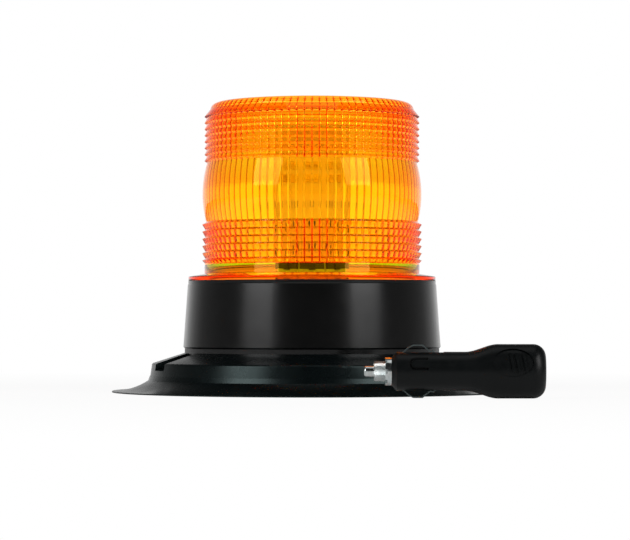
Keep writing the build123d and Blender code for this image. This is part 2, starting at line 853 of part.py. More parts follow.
# Plug: side is the plane through its axis, and cross_plane a section at a distance from the tip
side = Plane(origin=(plug_x, plug_y, plug_z), x_dir=(1, 0, 0), z_dir=(0, -1, 0))
plug_axis = Axis((plug_x, plug_y, plug_z), (1, 0, 0))
fuse_end = fuse_start + fuse_length
neck_end = body_start + neck_length
slot_floor = barrel_radius - leaf_sink - contact_thickness / 2 - contact_travel - slot_gap
slot_length = slot_end - slot_start
plug_screw_seat = barrel_radius - plug_screw_sink - plug_screw_head_height


def cross_plane(distance):
    """Plane across the plug at a distance from its tip, local x along +Y and local y along +Z."""
    return Plane(origin=(plug_x + distance, plug_y, plug_z), x_dir=(0, 1, 0), z_dir=(1, 0, 0))


with BuildPart() as plug_blank:
    with BuildSketch(side):
        with BuildLine():
            Polyline(
                (body_start, 0),
                (body_start, body_nose_radius),
                (body_start + body_nose_length, barrel_radius),
                (barrel_end, barrel_radius),
                (barrel_end, 0),
                (body_start, 0),
            )
        make_face()
    revolve(axis=plug_axis)
    # The round barrel swells into the flattened grip in an S curve
    swell = grip_start - barrel_end
    for share, height_share, width_share in ((0, 0, 0), (0.3, 0.2, 0.3), (0.75, 0.88, 0.9), (1, 1, 1)):
        with BuildSketch(cross_plane(barrel_end + share * swell)):
            Ellipse(
                barrel_radius + width_share * (grip_half_width - barrel_radius),
                barrel_radius + height_share * (grip_half_height - barrel_radius),
            )
    loft()
    with BuildSketch(cross_plane(grip_start)):
        Ellipse(grip_half_width, grip_half_height)
    extrude(amount=grip_end - grip_start)
    fillet(plug_blank.faces().sort_by(Axis.X)[-1].edges(), grip_end_round)
    # Room for the cap's neck and the fuse, and the lead hole at the far end
    with BuildSketch(cross_plane(body_start)):
        Circle(neck_radius + running_gap)
    extrude(amount=neck_length + running_gap, mode=Mode.SUBTRACT)
    with BuildSketch(cross_plane(neck_end)):
        Circle(fuse_radius + fuse_gap)
    extrude(amount=fuse_end - neck_end, mode=Mode.SUBTRACT)
    with BuildSketch(cross_plane(grip_end)):
        Circle(plug_lead_radius)
    extrude(amount=-plug_lead_depth, mode=Mode.SUBTRACT)
    # Slots for the two spring contacts
    with BuildSketch(side):
        for direction in (1, -1):
            with Locations(
                ((slot_start + slot_end) / 2, direction * (slot_floor + barrel_radius) / 2)
            ):
                Rectangle(slot_end - slot_start, barrel_radius - slot_floor + contact_thickness)
    extrude(amount=contact_width / 2 + slot_gap, both=True, mode=Mode.SUBTRACT)
    # Screw from the back half into the front half
    with BuildSketch(side.offset(-grip_half_width - slot_gap)):
        with Locations((plug_screw_x, 0)):
            Circle(plug_screw_head_radius + fit_gap)
    extrude(amount=grip_half_width + slot_gap - plug_screw_seat, mode=Mode.SUBTRACT)
    with BuildSketch(side.offset(-barrel_radius)):
        with Locations((plug_screw_x, 0)):
            Circle(plug_screw_radius)
    extrude(amount=1.6 * barrel_radius, mode=Mode.SUBTRACT)
    # Thumb groove, a U open towards the grip, on the front
    groove_height = groove_top - groove_bottom
    groove_middle = (groove_top + groove_bottom) / 2
    with BuildSketch(side.offset(groove_floor)):
        with Locations((groove_start + groove_height / 2, groove_middle)):
            Circle(groove_height / 2)
        with Locations((groove_start + (groove_height / 2 + groove_length) / 2, groove_middle)):
            Rectangle(groove_length - groove_height / 2, groove_height)
        with Locations((groove_start + groove_height / 2, groove_middle)):
            Circle(groove_height / 2 - groove_width, mode=Mode.SUBTRACT)
        with Locations((groove_start + groove_height / 2 + groove_length / 2, groove_middle)):
            Rectangle(groove_length, groove_height - 2 * groove_width, mode=Mode.SUBTRACT)
    extrude(amount=barrel_radius, mode=Mode.SUBTRACT)

# Oval thumb dish in the front of the grip, as deep all over, with three leaning ridges left standing
with BuildPart() as thumb_dish:
    with BuildSketch(side):
        with Locations((dish_centre, dish_lift)):
            Ellipse(dish_half_length, dish_half_height)
        with Locations(*[(place, dish_lift) for place in ridge_places]):
            Rectangle(ridge_width, ridge_length, rotation=ridge_lean, mode=Mode.SUBTRACT)
    extrude(amount=grip_half_width + dish_depth)
    with BuildSketch(cross_plane(dish_centre - 2 * dish_half_length)):
        Ellipse(grip_half_width - dish_depth, grip_half_height - dish_depth)
    extrude(amount=4 * dish_half_length, mode=Mode.SUBTRACT)

with BuildPart() as plug_shell_front:
    add(plug_blank.part)
    split(bisect_by=side, keep=Keep.TOP)
    add(thumb_dish.part, mode=Mode.SUBTRACT)
save(plug_shell_front, "plug_shell_front")

with BuildPart() as plug_shell_back:
    add(plug_blank.part)
    split(bisect_by=side, keep=Keep.BOTTOM)
save(plug_shell_back, "plug_shell_back")

screw_head_y = barrel_radius - plug_screw_sink
with BuildPart() as plug_screw:
    with BuildSketch(side.offset(-screw_head_y)):
        with Locations((plug_screw_x, 0)):
            Circle(plug_screw_head_radius)
    extrude(amount=plug_screw_head_height)
    with BuildSketch(side.offset(-screw_head_y + plug_screw_head_height)):
        with Locations((plug_screw_x, 0)):
            Circle(plug_screw_radius)
    extrude(amount=1.4 * barrel_radius - plug_screw_head_height)
save(plug_screw, "plug_screw")

# Notched metal ring against the plug's nose
with BuildPart() as nose_ring:
    with BuildSketch(cross_plane(body_start - ring_length)):
        Circle(ring_radius)
        Circle(cap_radius + running_gap, mode=Mode.SUBTRACT)
    extrude(amount=ring_length)
    with BuildSketch(cross_plane(body_start - ring_length)):
        with PolarLocations(ring_radius, ring_notches):
            Rectangle(2 * (ring_radius - cap_radius) - ring_notch_depth, ring_notch_width)
    extrude(amount=ring_notch_depth, mode=Mode.SUBTRACT)
save(nose_ring, "nose_ring")

# Cap that unscrews to change the fuse, with a hole for the tip pin
with BuildPart() as nose_cap:
    with BuildSketch(side):
        with BuildLine():
            Polyline(
                (cap_nose, pin_radius + running_gap),
                (cap_nose, cap_radius - pin_rest_gap),
                (cap_nose + pin_rest_gap, cap_radius),
                (body_start - running_gap, cap_radius),
                (body_start - running_gap, neck_radius),
                (neck_end, neck_radius),
                (neck_end, cap_bore),
                (cap_nose + cap_front_wall, cap_bore),
                (cap_nose + cap_front_wall, pin_radius + running_gap),
                (cap_nose, pin_radius + running_gap),
            )
        make_face()
    revolve(axis=plug_axis)
save(nose_cap, "nose_cap")

pin_flange_start = cap_nose + cap_front_wall + pin_rest_gap
with BuildPart() as tip_pin:
    with BuildSketch(side):
        with BuildLine():
            Polyline((pin_flange_start + pin_flange_thickness, 0), (0, 0), (0, pin_radius - pin_nose_round))
            RadiusArc((0, pin_radius - pin_nose_round), (pin_nose_round, pin_radius), pin_nose_round)
            Polyline(
                (pin_nose_round, pin_radius),
                (pin_flange_start, pin_radius),
                (pin_flange_start, pin_flange_radius),
                (pin_flange_start + pin_flange_thickness, pin_flange_radius),
                (pin_flange_start + pin_flange_thickness, 0),
            )
        make_face()
    revolve(axis=plug_axis)
save(tip_pin, "tip_pin")

# Coil spring between the pin and the fuse, square wire
spring_start = pin_flange_start + pin_flange_thickness
spring_length = fuse_start - spring_start
with BuildPart() as tip_spring:
    with BuildLine() as coil:
        Helix(
            (spring_length - spring_wire) / spring_turns,
            spring_length - spring_wire,
            spring_radius,
            center=(plug_x + spring_start + spring_wire / 2, plug_y, plug_z),
            direction=(1, 0, 0),
        )
    with BuildSketch(Plane(coil.line @ 0, z_dir=coil.line % 0)):
        Rectangle(spring_wire, spring_wire)
    sweep(is_frenet=True)
save(tip_spring, "tip_spring")

with BuildPart() as plug_fuse:
    with BuildSketch(cross_plane(fuse_start)):
        Circle(fuse_radius)
    extrude(amount=fuse_length)
save(plug_fuse, "plug_fuse")

# Bent leaf contacts above and below the barrel: shares of the slot's length, and of the leaf's rise
leaf_shape = (
    (0.035, 0),
    (0.193, 0.73),
    (0.298, 1),
    (0.509, 1),
    (0.684, 0.25),
    (0.754, 0.36),
    (0.825, 0),
    (0.956, 0),
)
for name, direction in (("contact_upper", 1), ("contact_lower", -1)):
    leaf = [
        (slot_start + along * slot_length, direction * (barrel_radius - leaf_sink + rise * leaf_rise))
        for along, rise in leaf_shape
    ]
    with BuildPart() as contact:
        with BuildSketch(side):
            with BuildLine():
                Polyline(*leaf)
            trace(line_width=contact_thickness)
        extrude(amount=contact_width / 2, both=True)
    save(contact, name)
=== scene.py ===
import json
from math import cos, pi, radians, sin

import bpy
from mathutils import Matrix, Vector


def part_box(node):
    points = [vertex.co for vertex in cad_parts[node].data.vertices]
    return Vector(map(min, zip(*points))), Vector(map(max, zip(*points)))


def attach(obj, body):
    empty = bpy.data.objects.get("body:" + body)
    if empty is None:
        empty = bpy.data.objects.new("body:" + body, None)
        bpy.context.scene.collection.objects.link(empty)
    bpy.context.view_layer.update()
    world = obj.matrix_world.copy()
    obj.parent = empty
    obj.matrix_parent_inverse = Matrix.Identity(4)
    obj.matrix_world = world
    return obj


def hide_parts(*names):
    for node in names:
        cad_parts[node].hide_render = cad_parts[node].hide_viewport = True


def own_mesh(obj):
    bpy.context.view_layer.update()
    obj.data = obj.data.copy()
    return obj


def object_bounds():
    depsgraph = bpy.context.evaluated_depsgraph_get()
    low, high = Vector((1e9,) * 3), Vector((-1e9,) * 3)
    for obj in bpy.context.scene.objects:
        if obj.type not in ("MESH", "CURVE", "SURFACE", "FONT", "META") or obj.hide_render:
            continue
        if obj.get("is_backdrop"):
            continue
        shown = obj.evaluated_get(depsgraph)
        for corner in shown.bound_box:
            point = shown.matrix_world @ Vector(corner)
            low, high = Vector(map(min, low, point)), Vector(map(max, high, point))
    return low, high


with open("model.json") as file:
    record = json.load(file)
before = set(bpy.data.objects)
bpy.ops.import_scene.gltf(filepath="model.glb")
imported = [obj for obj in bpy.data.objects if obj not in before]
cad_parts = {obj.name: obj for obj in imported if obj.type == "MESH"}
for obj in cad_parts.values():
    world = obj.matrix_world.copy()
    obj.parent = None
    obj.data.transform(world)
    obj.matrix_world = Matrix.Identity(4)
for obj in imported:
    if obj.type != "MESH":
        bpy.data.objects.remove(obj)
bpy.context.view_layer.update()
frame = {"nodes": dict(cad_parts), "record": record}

MM = 0.001
nodes = frame["nodes"]
slot_of = {part["node"]: part["material_slot"] for part in frame["record"]["subparts"]}


# Shader building blocks
def new_material(name):
    """Empty node material with a Principled shader, as (material, tree, shader)."""
    material = bpy.data.materials.new(name)
    material.use_nodes = True
    tree = material.node_tree
    return material, tree, tree.nodes["Principled BSDF"]


def axes(tree, kind="Object"):
    """X, Y and Z sockets of a texture coordinate."""
    where = tree.nodes.new("ShaderNodeTexCoord")
    split = tree.nodes.new("ShaderNodeSeparateXYZ")
    tree.links.new(where.outputs[kind], split.inputs["Vector"])
    return split.outputs


def combine(tree, operation, first, second=None):
    """Math node on two sockets or numbers."""
    node = tree.nodes.new("ShaderNodeMath")
    node.operation = operation
    for socket, value in zip(node.inputs, (first, second)):
        if isinstance(value, (int, float)):
            socket.default_value = value
        elif value is not None:
            tree.links.new(value, socket)
    return node.outputs[0]


def noise(tree, scale, detail=3.0, stretch=(1, 1, 1)):
    """Noise value in object space, scale in cells per metre."""
    where = tree.nodes.new("ShaderNodeTexCoord")
    mapping = tree.nodes.new("ShaderNodeMapping")
    mapping.inputs["Scale"].default_value = stretch
    texture = tree.nodes.new("ShaderNodeTexNoise")
    texture.inputs["Scale"].default_value = scale
    texture.inputs["Detail"].default_value = detail
    tree.links.new(where.outputs["Object"], mapping.inputs["Vector"])
    tree.links.new(mapping.outputs["Vector"], texture.inputs["Vector"])
    return texture.outputs["Fac"]


def spread(tree, value, low, high, start=0.3, end=0.7):
    """Value from start..end mapped to low..high."""
    node = tree.nodes.new("ShaderNodeMapRange")
    node.inputs["From Min"].default_value = start
    node.inputs["From Max"].default_value = end
    node.inputs["To Min"].default_value = low
    node.inputs["To Max"].default_value = high
    tree.links.new(value, node.inputs["Value"])
    return node.outputs["Result"]


def shade(tree, value, stops, low, high):
    """Colour along a value that runs from low to high, from a rising list of (value, colour)."""
    ramp = tree.nodes.new("ShaderNodeValToRGB")
    elements = ramp.color_ramp.elements
    while len(elements) < len(stops):
        elements.new(1.0)
    for element, (place, colour) in zip(elements, stops):
        element.position = (place - low) / (high - low)
        element.color = (*colour, 1)
    tree.links.new(spread(tree, value, 0, 1, low, high), ramp.inputs["Fac"])
    return ramp.outputs["Color"]


def by_height(tree, stops):
    """Colour that changes with height in metres."""
    return shade(tree, axes(tree)["Z"], stops, stops[0][0], stops[-1][0])


def tint(tree, value, first, second, start=0.35, end=0.65):
    """Colour that goes from first to second with value."""
    ramp = tree.nodes.new("ShaderNodeValToRGB")
    ramp.color_ramp.elements[0].position = start
    ramp.color_ramp.elements[0].color = (*first, 1)
    ramp.color_ramp.elements[1].position = end
    ramp.color_ramp.elements[1].color = (*second, 1)
    tree.links.new(value, ramp.inputs["Fac"])
    return ramp.outputs["Color"]


def bump(tree, shader, height, strength, depth):
    """Fine relief on the shader's normal, depth in metres."""
    node = tree.nodes.new("ShaderNodeBump")
    node.inputs["Strength"].default_value = strength
    node.inputs["Distance"].default_value = depth
    tree.links.new(height, node.inputs["Height"])
    tree.links.new(node.outputs["Normal"], shader.inputs["Normal"])


# Materials
GRAIN_DEPTH, MARK_DEPTH, WAVE_DEPTH = 0.00006, 0.00002, 0.00004
COAT_ROUGHNESS = 0.16
BOARD_STRIP_LOW, BOARD_STRIP_HIGH, STRIP_TONE = 67.5 * MM, 73.8 * MM, 0.04
KNURL_PITCH, KNURL_DEPTH, KNURL_RADIUS = 0.75 * MM, 0.2 * MM, 4.5 * MM
CROWN_MATT, CROWN_FALL = 0.32, 1.4 * MM


def moulded(name, dark, light, rough, grain=1400, coat=0.0, patch=45, gloss=0.5, sheen=(1, 1, 1)):
    """Moulded plastic or rubber: fine grain, soft patches of tone and a roughness that varies."""
    material, tree, shader = new_material(name)
    tree.links.new(tint(tree, noise(tree, patch, 4), dark, light), shader.inputs["Base Color"])
    tree.links.new(spread(tree, noise(tree, patch * 3, 5), *rough), shader.inputs["Roughness"])
    shader.inputs["Specular IOR Level"].default_value = gloss
    shader.inputs["Specular Tint"].default_value = (*sheen, 1)
    if coat:
        shader.inputs["Coat Weight"].default_value = coat
        shader.inputs["Coat Roughness"].default_value = COAT_ROUGHNESS
    bump(tree, shader, noise(tree, grain, 2), 0.25, GRAIN_DEPTH)
    return material


def metal(name, dark, light, rough, stretch=(1, 1, 1)):
    """Plated or turned metal with fine directional marks."""
    material, tree, shader = new_material(name)
    shader.inputs["Metallic"].default_value = 1.0
    marks = noise(tree, 300, 4, stretch)
    tree.links.new(tint(tree, marks, dark, light), shader.inputs["Base Color"])
    tree.links.new(spread(tree, marks, *rough), shader.inputs["Roughness"])
    bump(tree, shader, marks, 0.2, MARK_DEPTH)
    return material


def amber_glass(name, stops):
    """Clear amber polycarbonate: deeper in colour where its ribs are thick, with the painted highlight and
    shade rings that its stops carry, and absorbing along its wall.
    """
    material, tree, shader = new_material(name)
    tree.links.new(by_height(tree, stops), shader.inputs["Base Color"])
    shader.inputs["Transmission Weight"].default_value = 1.0
    shader.inputs["IOR"].default_value = 1.585
    shader.inputs["Specular Tint"].default_value = (1.0, 0.45, 0.05, 1)
    # Polished wall, and a fine matt texture on the flat crown
    crown_start = stops[-1][0] - CROWN_FALL
    crown = spread(tree, axes(tree)["Z"], 0.0, CROWN_MATT, crown_start, crown_start + 0.4 * MM)
    polish = spread(tree, noise(tree, 60, 3), 0.015, 0.05)
    tree.links.new(combine(tree, "ADD", polish, crown), shader.inputs["Roughness"])
    bump(tree, shader, noise(tree, 260, 2), 0.08, WAVE_DEPTH)
    inside = tree.nodes.new("ShaderNodeVolumeAbsorption")
    inside.inputs["Color"].default_value = (0.999, 0.80, 0.28, 1)
    inside.inputs["Density"].default_value = 400
    tree.links.new(inside.outputs["Volume"], tree.nodes["Material Output"].inputs["Volume"])
    return material


def led_board(name, mask, white):
    """White solder mask with a black strip across the lower end."""
    material, tree, shader = new_material(name)
    blend = tree.nodes.new("ShaderNodeMix")
    blend.data_type = "RGBA"
    blend.blend_type = "MULTIPLY"
    blend.inputs["Factor"].default_value = 1.0
    edge = 0.2 * MM
    stops = [
        (BOARD_STRIP_LOW - 10 * MM, 1.0),
        (BOARD_STRIP_LOW - edge, 1.0),
        (BOARD_STRIP_LOW, STRIP_TONE),
        (BOARD_STRIP_HIGH, STRIP_TONE),
        (BOARD_STRIP_HIGH + edge, 1.0),
        (BOARD_STRIP_HIGH + 10 * MM, 1.0),
    ]
    strip = by_height(tree, [(height, (tone, tone, tone)) for height, tone in stops])
    first, second, result = blend.inputs[6], blend.inputs[7], blend.outputs[2]
    tree.links.new(tint(tree, noise(tree, 120, 4), mask, white), first)
    tree.links.new(strip, second)
    tree.links.new(result, shader.inputs["Base Color"])
    tree.links.new(spread(tree, noise(tree, 360, 5), 0.3, 0.45), shader.inputs["Roughness"])
    bump(tree, shader, noise(tree, 1400, 2), 0.25, GRAIN_DEPTH)
    return material


def knurled(name, dark, light, rough, centre):
    """Plated metal with a diamond knurl round an axis along X through centre (y, z)."""
    material = metal(name, dark, light, rough)
    tree = material.node_tree
    place = axes(tree)
    side = combine(tree, "SUBTRACT", place["Y"], centre[0])
    up = combine(tree, "SUBTRACT", place["Z"], centre[1])
    squares = [combine(tree, "MULTIPLY", way, way) for way in (side, up)]
    reach = combine(tree, "SQRT", combine(tree, "ADD", *squares))
    around = combine(tree, "MULTIPLY", combine(tree, "ARCTAN2", up, side), KNURL_RADIUS)
    waves = []
    for way in ("ADD", "SUBTRACT"):
        along = combine(tree, "MULTIPLY", combine(tree, way, place["X"], around), pi / KNURL_PITCH)
        waves.append(combine(tree, "ABSOLUTE", combine(tree, "SINE", along)))
    # Only the cylindrical wall is knurled, not the end faces
    wall = spread(tree, reach, 0, 1, KNURL_RADIUS - 0.5 * MM, KNURL_RADIUS - 0.1 * MM)
    height = combine(tree, "MULTIPLY", combine(tree, "MINIMUM", *waves), wall)
    bump(tree, tree.nodes["Principled BSDF"], height, 0.9, KNURL_DEPTH)
    return material


finish = {
    "drum_plastic": moulded(
        "drum_satin_plastic", (0.0013, 0.0014, 0.0014), (0.0022, 0.0023, 0.0023), (0.21, 0.25),
        gloss=0.34, coat=0.35,
    ),
    "boot_rubber": moulded(
        "boot_rubber_blueblack", (0.0012, 0.0022, 0.0024), (0.0020, 0.0036, 0.0040), (0.25, 0.30),
        grain=1100, gloss=0.26, sheen=(0.75, 1.0, 1.0),
    ),
    "seal_rubber": moulded("seal_rubber_matt", (0.012, 0.012, 0.012), (0.02, 0.02, 0.02), (0.6, 0.75)),
    "zinc_steel": metal("zinc_steel_plated", (0.42, 0.43, 0.46), (0.60, 0.61, 0.63), (0.28, 0.45)),
    "ferrite": moulded("ferrite_sintered", (0.05, 0.05, 0.055), (0.08, 0.08, 0.085), (0.6, 0.8)),
    "tower_aluminium": metal(
        "tower_anodised", (0.70, 0.71, 0.72), (0.84, 0.85, 0.86), (0.3, 0.42), (1, 1, 0.05)
    ),
    "insert_brass": metal(
        "insert_turned_brass", (0.60, 0.42, 0.16), (0.78, 0.60, 0.28), (0.25, 0.4), (1, 1, 6)
    ),
    "board_white": led_board("board_white_mask", (0.90, 0.82, 0.76), (0.96, 0.88, 0.82)),
    "board_green": moulded(
        "board_green_mask", (0.015, 0.12, 0.04), (0.03, 0.20, 0.07), (0.3, 0.5), patch=160
    ),
    "led_package": moulded(
        "led_phosphor", (0.80, 0.62, 0.10), (0.92, 0.78, 0.22), (0.2, 0.35), patch=300
    ),
    "chip_plastic": moulded("chip_epoxy", (0.02, 0.02, 0.022), (0.035, 0.035, 0.04), (0.5, 0.7)),
    "capacitor_sleeve": moulded(
        "capacitor_shrink_sleeve", (0.012, 0.014, 0.03), (0.02, 0.024, 0.05), (0.2, 0.35)
    ),
    "choke_ferrite": moulded("choke_lacquered", (0.05, 0.045, 0.04), (0.09, 0.075, 0.06), (0.4, 0.6)),
    "terminal_plastic": moulded("terminal_moulded", (0.03, 0.14, 0.05), (0.05, 0.20, 0.08), (0.35, 0.5)),
    "wire_insulation": moulded("wire_soft_red", (0.40, 0.02, 0.012), (0.55, 0.03, 0.02), (0.4, 0.55)),
    "plug_plastic": moulded(
        "plug_satin_black", (0.0010, 0.0016, 0.0018), (0.0018, 0.0028, 0.0030), (0.32, 0.40),
        grain=1800, gloss=0.2,
    ),
    "plug_nickel": metal(
        "plug_bright_nickel", (0.52, 0.57, 0.57), (0.68, 0.73, 0.73), (0.12, 0.24), (6, 1, 1)
    ),
    "fuse_glass": moulded("fuse_ceramic_tube", (0.70, 0.68, 0.62), (0.80, 0.78, 0.72), (0.2, 0.3)),
}
cap_low, cap_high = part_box("nose_cap")
cap_axis = ((cap_low[1] + cap_high[1]) / 2, (cap_low[2] + cap_high[2]) / 2)
spring_steel = metal(
    "contact_spring_steel", (0.10, 0.125, 0.125), (0.17, 0.205, 0.205), (0.28, 0.4), (4, 1, 1)
)
own_finish = {
    "inner_deck": moulded("deck_grey_plastic", (0.30, 0.30, 0.29), (0.40, 0.40, 0.38), (0.4, 0.5)),
    "tower_cap": moulded("cap_white_plastic", (0.70, 0.70, 0.66), (0.80, 0.80, 0.76), (0.35, 0.45)),
    "contact_upper": spring_steel,
    "contact_lower": spring_steel,
    "nose_cap": knurled(
        "cap_knurled_nickel", (0.52, 0.57, 0.57), (0.68, 0.73, 0.73), (0.14, 0.26), cap_axis
    ),
}


# Mesh helpers
def soften(profile, radius, steps=3):
    """Profile with its corners rounded by about radius."""
    points = [Vector(profile[0])]
    for before, corner, after in zip(profile, profile[1:], profile[2:]):
        before, corner, after = Vector(before), Vector(corner), Vector(after)
        back = min(radius, (before - corner).length / 2.2)
        ahead = min(radius, (after - corner).length / 2.2)
        start = corner + (before - corner).normalized() * back
        end = corner + (after - corner).normalized() * ahead
        for step in range(steps + 1):
            t = step / steps
            points.append(start * (1 - t) ** 2 + corner * 2 * t * (1 - t) + end * t**2)
    points.append(Vector(profile[-1]))
    return points


def make_object(name, verts, faces, material, body, stands_for=(), angle=34):
    """Mesh object with smooth faces and sharp edges over an angle, riding on a body."""
    mesh = bpy.data.meshes.new(name)
    mesh.from_pydata(verts, [], faces)
    mesh.polygons.foreach_set("use_smooth", [True] * len(mesh.polygons))
    mesh.set_sharp_from_angle(angle=radians(angle))
    mesh.update()
    piece = bpy.data.objects.new(name, mesh)
    bpy.context.scene.collection.objects.link(piece)
    mesh.materials.append(material)
    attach(piece, body)
    if stands_for:
        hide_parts(*stands_for)
    return piece


def lathe(rows, turns, ripples=()):
    """Vertices and faces turned about Z. A row is (radius, height, share of each ripple), 0 radius a pole."""
    verts, faces, starts = [], [], []
    segments = len(turns)
    for radius, height, *shares in rows:
        starts.append(len(verts))
        if radius == 0:
            verts.append((0, 0, height))
            continue
        for turn in turns:
            r = radius + sum(share * ripple(turn) for share, ripple in zip(shares, ripples))
            verts.append((r * cos(turn), r * sin(turn), height))
    for i in range(len(rows) - 1):
        a, b = starts[i], starts[i + 1]
        for k in range(segments):
            n = (k + 1) % segments
            if rows[i][0] == 0:
                faces.append((a, b + k, b + n))
            elif rows[i + 1][0] == 0:
                faces.append((a + k, b, a + n))
            else:
                faces.append((a + k, b + k, b + n, a + n))
    return verts, faces


def add_block(verts, faces, centre, size, turn, bevel=0.15 * MM):
    """Adds a small block with chamfered upright edges, centred at centre, turned about Z."""
    cx, cy, cz = centre
    hx, hy, hz = (s / 2 for s in size)
    b = min(bevel, hx * 0.4, hy * 0.4, hz * 0.4)
    outline = [
        (hx - b, -hy), (hx, -hy + b), (hx, hy - b), (hx - b, hy),
        (-hx + b, hy), (-hx, hy - b), (-hx, -hy + b), (-hx + b, -hy),
    ]
    start, count = len(verts), len(outline)
    for z in (-hz, hz):
        for x, y in outline:
            verts.append((cx + x * cos(turn) - y * sin(turn), cy + x * sin(turn) + y * cos(turn), cz + z))
    faces.append(tuple(start + k for k in reversed(range(count))))
    faces.append(tuple(start + count + k for k in range(count)))
    for k in range(count):
        n = (k + 1) % count
        faces.append((start + k, start + n, start + count + n, start + count + k))


# Lens, with ring prisms outside and flutes inside
RIM_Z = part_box("lens_seal")[1][2]
CROWN_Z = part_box("lens")[1][2]
RIM_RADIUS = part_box("lens")[1][0]
BAND_RADIUS = 61.4 * MM
LENS_WALL = 2.3 * MM
FLANGE_EDGE = 2.6 * MM
FLANGE_RISE = 4.1 * MM
FLANGE_CHAMFER = 0.4 * MM
BAND_RISE = 9.8 * MM
LOW_TEETH, LOW_PITCH, LOW_ROOT, LOW_TIP, LOW_FIRST = 6, 4.1 * MM, 60.9 * MM, 62.7 * MM, 1.9 * MM
TOOTH_BACK = 1.0 * MM
BARREL_LEAD, BARREL_HEIGHT = 1.3 * MM, 33.9 * MM
BARREL_FOOT, BARREL_HEAD = 60.5 * MM, 59.9 * MM
BARREL_BELLY, BORE_BELLY = 2.3 * MM, 1.3 * MM
BARREL_STEPS, BORE_STEPS = 20, 16
HIGH_TEETH, HIGH_PITCH, HIGH_ROOT, HIGH_TIP = 8, 3.6 * MM, 60.1 * MM, 61.4 * MM
SHOULDER_RADIUS, SHOULDER_RISE = 58.1 * MM, 4.1 * MM
CORNER_RADIUS, CORNER_RISE = 53.0 * MM, 8.0 * MM
CORNER_STEPS = 5
CROWN_SAG = 0.35 * MM
BORE = 57.2 * MM
BORE_LEAD = 0.8 * MM
EDGE_ROUND = 0.22 * MM
FLUTES = 88
GROOVE_DEPTH, GROOVE_HALF = 0.30 * MM, 0.10
SCALLOP_DEPTH = 0.34 * MM
BARREL_GROOVE, BARREL_SCALLOP = 0.75, 0.25
FLUTE_PHASES = (0, 0.10, 0.26, 0.42, 0.58, 0.74, 0.90)

band_top = RIM_Z + BAND_RISE
low_end = band_top + LOW_FIRST + LOW_PITCH * (LOW_TEETH - 1)
barrel_low = low_end + BARREL_LEAD
barrel_high = barrel_low + BARREL_HEIGHT
high_first = barrel_high + TOOTH_BACK
high_end = high_first + HIGH_PITCH * (HIGH_TEETH - 1)
shoulder_z = high_end + SHOULDER_RISE
corner_z = high_end + CORNER_RISE


def belly(share):
    """Share of the barrel's swell, a shallow arc from its foot (0) to its head (1)."""
    return 1 - (2 * share - 1) ** 2


def barrel_radius(share):
    """Outside radius of the barrel from its foot (0) to its head (1)."""
    return BARREL_FOOT + (BARREL_HEAD - BARREL_FOOT) * share + BARREL_BELLY * belly(share)


def crown_profile():
    """From the axis over the flat crown and round its corner to the shoulder."""
    points = [(0.0, CROWN_Z), (CORNER_RADIUS * 0.5, CROWN_Z - CROWN_SAG), (CORNER_RADIUS, corner_z)]
    for step in range(1, CORNER_STEPS):
        t = radians(90 * step / CORNER_STEPS)
        radius = CORNER_RADIUS + (SHOULDER_RADIUS - CORNER_RADIUS) * sin(t)
        points.append((radius, shoulder_z + (corner_z - shoulder_z) * cos(t)))
    return points + [(SHOULDER_RADIUS, shoulder_z)]


def high_rings():
    """Upper ring prisms from the top down, each with its back above its tip."""
    points = []
    for tooth in reversed(range(HIGH_TEETH)):
        tip = high_first + tooth * HIGH_PITCH
        if tooth < HIGH_TEETH - 1:
            points.append((HIGH_ROOT, tip + HIGH_PITCH - TOOTH_BACK))
        points.append((HIGH_TIP, tip))
    return points


def barrel_profile():
    """Swelling barrel from the top down."""
    shares = [1 - step / BARREL_STEPS for step in range(BARREL_STEPS + 1)]
    return [(barrel_radius(share), barrel_low + share * BARREL_HEIGHT) for share in shares]


def low_rings():
    """Lower ring prisms from the top down."""
    points = []
    for tooth in reversed(range(LOW_TEETH)):
        tip = band_top + LOW_FIRST + tooth * LOW_PITCH
        points += [(LOW_ROOT, tip + TOOTH_BACK), (LOW_TIP, tip)]
    return points


outer = crown_profile() + high_rings() + barrel_profile() + low_rings() + [
    (LOW_ROOT, band_top),
    (BAND_RADIUS, band_top - 0.05 * MM),
    (BAND_RADIUS, RIM_Z + FLANGE_RISE),
    (RIM_RADIUS - FLANGE_CHAMFER, RIM_Z + FLANGE_EDGE),
    (RIM_RADIUS, RIM_Z + FLANGE_EDGE - FLANGE_CHAMFER),
    (RIM_RADIUS, RIM_Z),
    (BAND_RADIUS - LENS_WALL, RIM_Z),
]
corner_bore = CORNER_RADIUS + 0.6 * (SHOULDER_RADIUS - CORNER_RADIUS) - 1.6 * MM
# Inside rows hold radius, height, share of the groove and share of the scallop
inner = [
    (BAND_RADIUS - LENS_WALL, RIM_Z, 0, 0),
    (BAND_RADIUS - LENS_WALL, band_top - 0.6 * MM, 0, 0),
    (BORE + 0.3 * MM, band_top + 0.2 * MM, 0.5, 0.5),
    (BORE, band_top + BORE_LEAD, 1, 1),
    (BORE, barrel_low - BORE_LEAD, 1, 1),
]
for step in range(BORE_STEPS + 1):
    share = step / BORE_STEPS
    bore_height = barrel_low + BARREL_HEIGHT * share
    inner.append((BORE + BORE_BELLY * belly(share), bore_height, BARREL_GROOVE, BARREL_SCALLOP))
inner += [
    (BORE, barrel_high + BORE_LEAD, 1, 1),
    (BORE, high_end, 1, 1),
    (BORE - 0.4 * MM, shoulder_z - LENS_WALL, 1, 1),
    (corner_bore, corner_z - 3.6 * MM, 0.4, 0.8),
    (CORNER_RADIUS - LENS_WALL, corner_z - LENS_WALL, 0.2, 0.3),
    (CORNER_RADIUS - 2 * LENS_WALL, corner_z - LENS_WALL + 0.2 * MM, 0, 0),
    (0.0, CROWN_Z - LENS_WALL, 0, 0),
]


def phase_of(turn):
    """Place within a flute, 0 to 1."""
    return (turn * FLUTES / (2 * pi)) % 1.0


